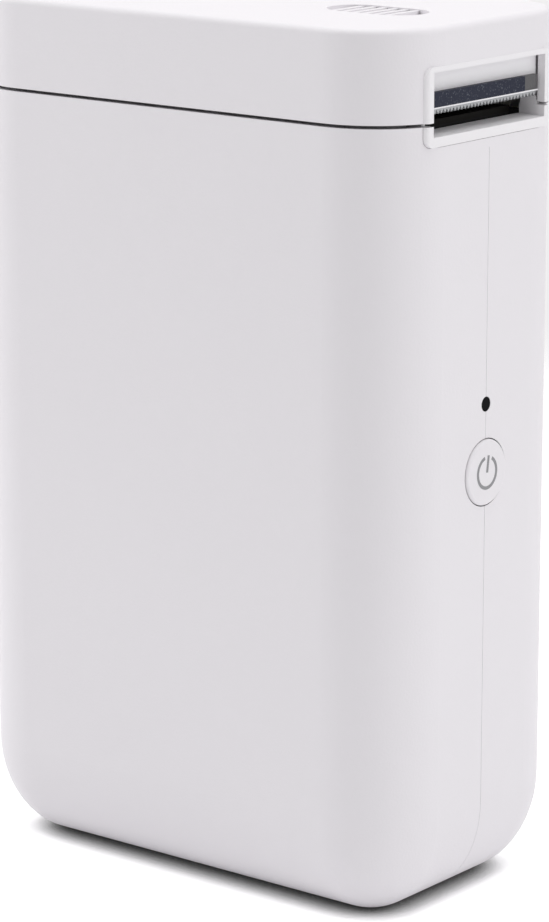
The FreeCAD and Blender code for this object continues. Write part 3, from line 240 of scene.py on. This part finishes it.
def painted_shade_group():
    """Painted shade for narrow creases, from ambient occlusion: 1 on open faces, falling towards 0 deep in
    a seam.
    """
    tree, entry, out = group_tree(
        "CreaseMask",
        {"Reach": CREASE_REACH, "Depth": 0.7, "Clear": CREASE_CLEAR},
        {"Open": "NodeSocketFloat"},
    )
    near = add(tree, "ShaderNodeAmbientOcclusion", samples=CREASE_SAMPLES)
    ramp = add(tree, "ShaderNodeMapRange")
    ramp.inputs["From Min"].default_value = CREASE_SHUT
    ramp.inputs["To Max"].default_value = 1.0
    floor = add(tree, "ShaderNodeMath", operation="SUBTRACT")
    floor.inputs[0].default_value = 1.0
    link(tree, entry.outputs["Reach"], near.inputs["Distance"])
    link(tree, entry.outputs["Depth"], floor.inputs[1])
    link(tree, entry.outputs["Clear"], ramp.inputs["From Max"])
    link(tree, near.outputs["AO"], ramp.inputs["Value"])
    link(tree, floor.outputs[0], ramp.inputs["To Min"])
    link(tree, ramp.outputs["Result"], out.inputs["Open"])
    return tree


def speckle_group():
    """Sparse light flecks."""
    tree, entry, out = group_tree(
        "Speckle", {"Scale": FLECK_SCALE, "Amount": 0.5}, {"Mask": "NodeSocketFloat"}
    )
    place = add(tree, "ShaderNodeTexCoord")
    flecks = add(tree, "ShaderNodeTexNoise")
    flecks.inputs["Detail"].default_value = 1.0
    keep = add(tree, "ShaderNodeMapRange")
    keep.inputs["From Min"].default_value = FLECK_LOW
    keep.inputs["From Max"].default_value = FLECK_HIGH
    link(tree, place.outputs["Object"], flecks.inputs["Vector"])
    link(tree, entry.outputs["Scale"], flecks.inputs["Scale"])
    link(tree, flecks.outputs["Fac"], keep.inputs["Value"])
    link(tree, entry.outputs["Amount"], keep.inputs["To Max"])
    link(tree, keep.outputs["Result"], out.inputs["Mask"])
    return tree


def shared_group(name):
    makers = {"FineGrain": grain_group, "CreaseMask": painted_shade_group, "Speckle": speckle_group}
    return bpy.data.node_groups.get(name) or makers[name]()


def use_group(tree, name, **values):
    node = add(tree, "ShaderNodeGroup", node_tree=shared_group(name))
    for label, value in values.items():
        node.inputs[label].default_value = value
    return node


def times(tree, colour, factor):
    """Colour multiplied by a grey factor socket."""
    mix = add(tree, "ShaderNodeVectorMath", operation="SCALE")
    link(tree, factor, mix.inputs["Scale"])
    if isinstance(colour, bpy.types.NodeSocket):
        link(tree, colour, mix.inputs[0])
    else:
        mix.inputs[0].default_value = colour
    return mix.outputs[0]


def background_rays(tree):
    """1 for the rays that show the background, straight or in metal and glass, and 0 for the rest."""
    path = add(tree, "ShaderNodeLightPath")
    shiny = add(tree, "ShaderNodeMath", operation="MAXIMUM")
    every = add(tree, "ShaderNodeMath", operation="MAXIMUM")
    link(tree, path.outputs["Is Glossy Ray"], shiny.inputs[0])
    link(tree, path.outputs["Is Transmission Ray"], shiny.inputs[1])
    link(tree, path.outputs["Is Camera Ray"], every.inputs[0])
    link(tree, shiny.outputs[0], every.inputs[1])
    return every.outputs[0]


def finish_material(
    name, colour, roughness, metallic=0.0, shine=0.5,
    scale=GRAIN_SCALE, bump=0.1, tone=0.1, crease_shade=0.0, speckle=0.0,
):
    """Principled material with the shared grain, and painted shade in creases or flecks where asked for."""
    mat = bpy.data.materials.new(name)
    mat.use_nodes = True
    tree = mat.node_tree
    shader = tree.nodes["Principled BSDF"]
    shader.inputs["Roughness"].default_value = roughness
    shader.inputs["Metallic"].default_value = metallic
    shader.inputs["Specular IOR Level"].default_value = shine
    grain = use_group(tree, "FineGrain", Scale=scale, Bump=bump, Tone=tone)
    link(tree, grain.outputs["Normal"], shader.inputs["Normal"])
    base = times(tree, colour, grain.outputs["Tone"])
    # Painted shade: ambient occlusion darkens the colour in creases and seams
    if crease_shade:
        shade_mask = use_group(tree, "CreaseMask", Depth=crease_shade)
        base = times(tree, base, shade_mask.outputs["Open"])
    if speckle:
        flecks = use_group(tree, "Speckle", Amount=speckle)
        mix = add(tree, "ShaderNodeMix", data_type="RGBA")
        mix.inputs["B"].default_value = FLECK_COLOUR
        link(tree, flecks.outputs["Mask"], mix.inputs["Factor"])
        link(tree, base, mix.inputs["A"])
        base = mix.outputs["Result"]
    link(tree, base, shader.inputs["Base Color"])
    mat.diffuse_color = (*colour, 1.0)
    return mat


def dress(nodes, material):
    for name in nodes:
        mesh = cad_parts[name].data
        mesh.materials.clear()
        mesh.materials.append(material)


def finish(nodes, name, colour, **values):
    """Gives nodes a finish of their own."""
    dress(nodes, finish_material(name, colour, **values))


def dress_part_of(node, material, low, high):
    """Gives a second finish to those faces of a node whose middle lies in a box, in metres."""
    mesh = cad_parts[node].data
    mesh.materials.append(material)
    found = [f for f in mesh.polygons if all(a <= c <= b for a, c, b in zip(low, f.center, high))]
    if not found:
        raise RuntimeError(node + " has no faces in the box for " + material.name)
    for face in found:
        face.material_index = len(mesh.materials) - 1


# Operators


class DressShell(bpy.types.Operator):
    """Gives the moulded shell, lid, exit lip, plugs and button their white satin finish"""

    bl_idname = "labelprinter.dress_shell"
    bl_label = "Dress shell"

    def execute(self, context):
        s = context.scene.label_shell
        # The moulded finish carries painted shade in creases and seams, as strong as the seam shade setting
        moulded = {"roughness": s.roughness, "shine": s.shine, "tone": 0.02, "crease_shade": s.seam_shade}
        finish(
            ["front_shell", "rear_shell", "lid_cover", "screw_plugs", "power_button"],
            "SatinWhite", s.colour, bump=s.grain, **moulded,
        )
        pale = finish_material("SurroundWhite", s.surround, bump=s.grain / 2, **moulded)
        dress(["exit_lip"], pale)
        low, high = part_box("exit_lip")
        dress_part_of(
            "lid_cover", pale,
            (STRIP_HIGH.x - MM, low.y - EDGE, low.z),
            (high.x + EDGE, high.y + EDGE, SURROUND_TOP),
        )
        return {"FINISHED"}


class DressLidWorks(bpy.types.Operator):
    """Finishes the pieces that the lid carries: frame, cutter, strip, platen and its bushes and gear"""

    bl_idname = "labelprinter.dress_lid_works"
    bl_label = "Dress lid works"

    def execute(self, context):
        s = context.scene.label_works
        finish(
            ["lid_frame"], "FrameWhite", (0.83, 0.82, 0.84),
            roughness=0.4, bump=0.05, tone=0.03,
        )
        # Painted shade: the block at the end of the strip is darkened for the shade that falls on it, not
        # for its own colour
        end_shade = finish_material("StripEndGrey", s.strip_end_shade, roughness=0.5, bump=0.2, tone=s.wear)
        frame_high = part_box("lid_frame")[1]
        dress_part_of(
            "lid_frame", end_shade,
            (STRIP_LOW.x + STRIP_STEP, STRIP_HIGH.y, STRIP_LOW.z - LEDGE_STEP),
            (frame_high.x + MM, frame_high.y, STRIP_HIGH.z + STRIP_STEP),
        )
        finish(
            ["tear_blade"], "BladeSteel", (0.4, 0.41, 0.42),
            roughness=0.5, metallic=0.6, bump=0.1, tone=s.wear,
        )
        finish(
            ["blade_strip"], "StripDark", s.strip_colour,
            roughness=0.55, shine=0.15, bump=0.2, tone=s.wear, speckle=s.speckle,
        )
        finish(
            ["platen_rubber"], "PlatenRubber", (0.02, 0.02, 0.021),
            roughness=0.75, shine=0.2, bump=0.3, tone=s.wear,
        )
        finish(
            ["platen_bushes", "motor_pinion"], "Brass", (0.66, 0.47, 0.2),
            roughness=0.3, metallic=1.0, tone=s.wear,
        )
        return {"FINISHED"}


class DressDrive(bpy.types.Operator):
    """Finishes the motor, gears, shafts, springs and screws"""

    bl_idname = "labelprinter.dress_drive"
    bl_label = "Dress drive"

    def execute(self, context):
        s = context.scene.label_works
        finish(
            [
                "shell_screws", "hinge_pin", "chassis_screws", "stepper_motor", "motor_screws",
                "gear_posts", "head_pivot_pin", "head_springs", "board_screws", "usb_socket",
                "lid_screws", "platen_shaft", "motor_shaft",
            ],
            "Steel", (0.58, 0.58, 0.6),
            roughness=0.3, metallic=1.0, scale=900.0, bump=0.06, tone=s.wear,
        )
        finish(
            ["platen_gear", "idler_gear", "reduction_gear"], "GearPlastic", (0.72, 0.7, 0.64),
            roughness=0.4, bump=0.05, tone=s.wear,
        )
        return {"FINISHED"}


class DressBay(bpy.types.Operator):
    """Finishes the roll bay, the chassis and the print head"""

    bl_idname = "labelprinter.dress_bay"
    bl_label = "Dress bay and head"

    def execute(self, context):
        s = context.scene.label_works
        finish(
            ["roll_cradle"], "BayGrey", (0.13, 0.135, 0.14),
            roughness=0.55, bump=0.2, tone=s.wear,
        )
        finish(
            ["mech_chassis"], "ChassisBlack", (0.03, 0.03, 0.033),
            roughness=0.6, shine=0.2, bump=0.2, tone=s.wear,
        )
        # Painted shade: the head bracket and the thermal head are near black so that the gap behind the
        # blade reads as shade
        finish(
            ["head_bracket"], "HeatSink", (0.015, 0.015, 0.016),
            roughness=0.6, shine=0.1, scale=1200.0, tone=s.wear,
        )
        finish(
            ["thermal_head"], "HeadCeramic", (0.012, 0.011, 0.01),
            roughness=0.6, shine=0.1, bump=0.02, tone=s.wear,
        )
        return {"FINISHED"}


class DressElectronics(bpy.types.Operator):
    """Finishes the board, its parts, the battery and their wiring"""

    bl_idname = "labelprinter.dress_electronics"
    bl_label = "Dress electronics"

    def execute(self, context):
        wear = context.scene.label_works.wear
        finish(
            ["main_board"], "BoardGreen", (0.015, 0.12, 0.05),
            roughness=0.3, bump=0.1, tone=wear,
        )
        finish(
            ["board_chips", "label_sensor", "tact_switch"], "ChipBlack", (0.018, 0.018, 0.02),
            roughness=0.5, bump=0.1, tone=wear,
        )
        finish(
            ["battery_connector", "ribbon_connector"], "ConnectorCream", (0.66, 0.63, 0.54),
            roughness=0.45, bump=0.05, tone=wear,
        )
        finish(
            ["battery_cell"], "CellFoil", (0.6, 0.61, 0.63),
            roughness=0.35, metallic=0.9, scale=500.0, tone=wear,
        )
        finish(["battery_pad"], "FoamPad", (0.04, 0.04, 0.04), roughness=0.9, bump=0.5, tone=wear)
        finish(["battery_lead"], "WireRed", (0.42, 0.02, 0.02), roughness=0.5, bump=0.05, tone=wear)
        finish(["head_ribbon"], "RibbonAmber", (0.5, 0.2, 0.02), roughness=0.3, bump=0.05, tone=wear)
        finish(
            ["indicator_pipe"], "Smoked", (0.006, 0.006, 0.007),
            roughness=0.7, shine=0.05, bump=0.02, tone=wear,
        )
        finish(["status_led"], "LedLens", (0.72, 0.76, 0.74), roughness=0.25, bump=0.02, tone=wear)
        return {"FINISHED"}


class BuildMark(bpy.types.Operator):
    """Prints the open ring and bar on the face of the power button"""

    bl_idname = "labelprinter.build_mark"
    bl_label = "Build button mark"

    def execute(self, context):
        s = context.scene.label_mark
        face_x = BUTTON_HIGH.x
        middle_z = (BUTTON_LOW.z + BUTTON_HIGH.z) / 2
        mesh = bmesh.new()
        start = math.pi / 2 + s.gap - s.turn
        sweep = 2 * math.pi - 2 * s.gap
        rim = []
        for i in range(RING_STEPS + 1):
            a = start + sweep * i / RING_STEPS
            rim.append([
                mesh.verts.new((face_x, r * math.cos(a), middle_z + r * math.sin(a)))
                for r in (s.radius - s.stroke, s.radius)
            ])
        for first, second in zip(rim, rim[1:]):
            mesh.faces.new((first[0], first[1], second[1], second[0]))
        half = s.stroke / 2
        lean, rise = math.sin(s.turn), math.cos(s.turn)
        bar = [(-half, 0), (half, 0), (half, s.bar), (-half, s.bar)]
        mesh.faces.new([
            mesh.verts.new((face_x, y * rise + z * lean, middle_z + z * rise - y * lean)) for y, z in bar
        ])
        bmesh.ops.recalc_face_normals(mesh, faces=mesh.faces)
        lifted = bmesh.ops.extrude_face_region(mesh, geom=mesh.faces[:])
        moved = [v for v in lifted["geom"] if isinstance(v, bmesh.types.BMVert)]
        bmesh.ops.translate(mesh, verts=moved, vec=(PRINT_T, 0, 0))
        bmesh.ops.recalc_face_normals(mesh, faces=mesh.faces)
        data = bpy.data.meshes.new("button_mark")
        mesh.to_mesh(data)
        mesh.free()
        obj = bpy.data.objects.new("button_mark", data)
        context.scene.collection.objects.link(obj)
        data.materials.append(finish_material("MarkGrey", s.colour, roughness=0.6, bump=0.02, tone=0.05))
        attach(obj, "button")
        return {"FINISHED"}


class BuildStage(bpy.types.Operator):
    """Sets the pale floor, softboxes, pale background and camera"""

    bl_idname = "labelprinter.build_stage"
    bl_label = "Build stage"

    def execute(self, context):
        s = context.scene.label_stage
        self.build_floor(context, s)
        self.build_world(context, s)
        for name, (place, width, setting) in LIGHTS.items():
            self.build_light(context, name, place, width, getattr(s, setting))
        self.build_camera(context, s)
        context.scene.view_settings.view_transform = "Standard"
        return {"FINISHED"}

    def build_floor(self, context, s):
        mesh = bmesh.new()
        bmesh.ops.create_grid(mesh, x_segments=1, y_segments=1, size=FLOOR_HALF)
        data = bpy.data.meshes.new("floor")
        mesh.to_mesh(data)
        mesh.free()
        floor = bpy.data.objects.new("floor", data)
        context.scene.collection.objects.link(floor)
        data.materials.append(self.floor_material(s))

    def floor_material(self, s):
        """Pale floor, bright where it lies open, with a painted contact shadow near the printer, that fades
        far off.

        Only the rays that show the background see this; light bounces off a plain pale floor.
        """
        mat = bpy.data.materials.new("FloorPale")
        mat.use_nodes = True
        tree = mat.node_tree
        shader = tree.nodes["Principled BSDF"]
        shader.inputs["Roughness"].default_value = FLOOR_ROUGHNESS
        shader.inputs["Emission Strength"].default_value = s.floor_lift
        # Painted contact shadow: ambient occlusion darkens the floor's colour and holds back its lift near
        # the printer, for the rays that show the background
        painted_contact_shadow = use_group(
            tree, "CreaseMask", Reach=s.floor_contact, Depth=1.0, Clear=s.floor_clear
        )
        seen = add(tree, "ShaderNodeMath", operation="MULTIPLY")
        rays = background_rays(tree)
        bounce = add(tree, "ShaderNodeMath", operation="SUBTRACT")
        bounce.inputs[0].default_value = 1.0
        shade = add(tree, "ShaderNodeMath", operation="MAXIMUM")
        link(tree, rays, bounce.inputs[1])
        link(tree, painted_contact_shadow.outputs["Open"], shade.inputs[0])
        link(tree, bounce.outputs[0], shade.inputs[1])
        link(tree, times(tree, s.floor, shade.outputs[0]), shader.inputs["Base Color"])
        link(tree, painted_contact_shadow.outputs["Open"], seen.inputs[0])
        link(tree, rays, seen.inputs[1])
        link(tree, times(tree, (1.0, 1.0, 1.0), seen.outputs[0]), shader.inputs["Emission Color"])
        place = add(tree, "ShaderNodeTexCoord")
        reach = add(tree, "ShaderNodeVectorMath", operation="LENGTH")
        fade = add(tree, "ShaderNodeMapRange", interpolation_type="SMOOTHSTEP")
        fade.inputs["From Min"].default_value = s.floor_near
        fade.inputs["From Max"].default_value = s.floor_far
        gone = add(tree, "ShaderNodeMath", operation="MULTIPLY")
        clear = add(tree, "ShaderNodeBsdfTransparent")
        mix = add(tree, "ShaderNodeMixShader")
        link(tree, place.outputs["Object"], reach.inputs[0])
        link(tree, reach.outputs["Value"], fade.inputs["Value"])
        link(tree, fade.outputs["Result"], gone.inputs[0])
        link(tree, rays, gone.inputs[1])
        link(tree, gone.outputs[0], mix.inputs["Fac"])
        link(tree, shader.outputs[0], mix.inputs[1])
        link(tree, clear.outputs[0], mix.inputs[2])
        link(tree, mix.outputs[0], tree.nodes["Material Output"].inputs["Surface"])
        return mat

    def build_world(self, context, s):
        world = bpy.data.worlds.new("Studio")
        context.scene.world = world
        world.use_nodes = True
        tree = world.node_tree
        tree.nodes.clear()
        out = add(tree, "ShaderNodeOutputWorld")
        mix = add(tree, "ShaderNodeMixShader")
        room = add(tree, "ShaderNodeBackground")
        room.inputs["Color"].default_value = (1.0, 1.0, 1.0, 1.0)
        room.inputs["Strength"].default_value = s.ambient
        pale = add(tree, "ShaderNodeBackground")
        pale.inputs["Color"].default_value = (*s.background, 1.0)
        link(tree, background_rays(tree), mix.inputs["Fac"])
        link(tree, room.outputs[0], mix.inputs[1])
        link(tree, pale.outputs[0], mix.inputs[2])
        link(tree, mix.outputs[0], out.inputs["Surface"])

    def build_light(self, context, name, place, width, watts):
        data = bpy.data.lights.new(name, "AREA")
        data.size = width
        data.energy = watts
        obj = bpy.data.objects.new(name, data)
        obj.location = place
        obj.rotation_euler = (Vector(place) - MIDDLE).to_track_quat("Z", "Y").to_euler()
        context.scene.collection.objects.link(obj)

    def build_camera(self, context, s):
        a, e = s.azimuth, s.elevation
        back = Vector((math.sin(a) * math.cos(e), -math.cos(a) * math.cos(e), math.sin(e)))
        right = Vector((math.cos(a), math.sin(a), 0))
        up = back.cross(right)
        place = MIDDLE + back * s.distance + right * s.sideways + up * s.upward
        data = bpy.data.cameras.new("Camera")
        data.sensor_fit = "VERTICAL"
        data.sensor_height = SENSOR
        data.lens = s.lens * SENSOR / IMAGE_HEIGHT
        data.clip_start = CLIP_START
        obj = bpy.data.objects.new("Camera", data)
        turn = Matrix((right, up, back)).transposed().to_4x4()
        obj.matrix_world = Matrix.Translation(place) @ turn
        context.scene.collection.objects.link(obj)
        context.scene.camera = obj


class LabelPrinterPanel(bpy.types.Panel):
    """Sizes and colours, and a button for each group of pieces"""

    bl_idname = "VIEW3D_PT_label_printer"
    bl_label = "Label printer"
    bl_space_type = "VIEW_3D"
    bl_region_type = "UI"
    bl_category = "Label printer"

    def draw(self, context):
        for name, _ in GROUPS:
            settings = getattr(context.scene, name)
            column = self.layout.column()
            for key in type(settings).__annotations__:
                column.prop(settings, key)
        for operator in OPERATORS:
            self.layout.operator(operator.bl_idname)


GROUPS = [
    ("label_shell", ShellSettings),
    ("label_works", WorksSettings),
    ("label_mark", MarkSettings),
    ("label_stage", StageSettings),
]
OPERATORS = [DressShell, DressLidWorks, DressDrive, DressBay, DressElectronics, BuildMark, BuildStage]


def register():
    for name, group in GROUPS:
        bpy.utils.register_class(group)
        setattr(bpy.types.Scene, name, PointerProperty(type=group))
    for kind in OPERATORS + [LabelPrinterPanel]:
        bpy.utils.register_class(kind)


def unregister():
    for kind in [LabelPrinterPanel] + OPERATORS[::-1]:
        bpy.utils.unregister_class(kind)
    for name, group in reversed(GROUPS):
        delattr(bpy.types.Scene, name)
        bpy.utils.unregister_class(group)


def main():
    register()
    bpy.ops.labelprinter.dress_shell()
    bpy.ops.labelprinter.dress_lid_works()
    bpy.ops.labelprinter.dress_drive()
    bpy.ops.labelprinter.dress_bay()
    bpy.ops.labelprinter.dress_electronics()
    bpy.ops.labelprinter.build_mark()
    bpy.ops.labelprinter.build_stage()


if __name__ == "__main__":
    main()
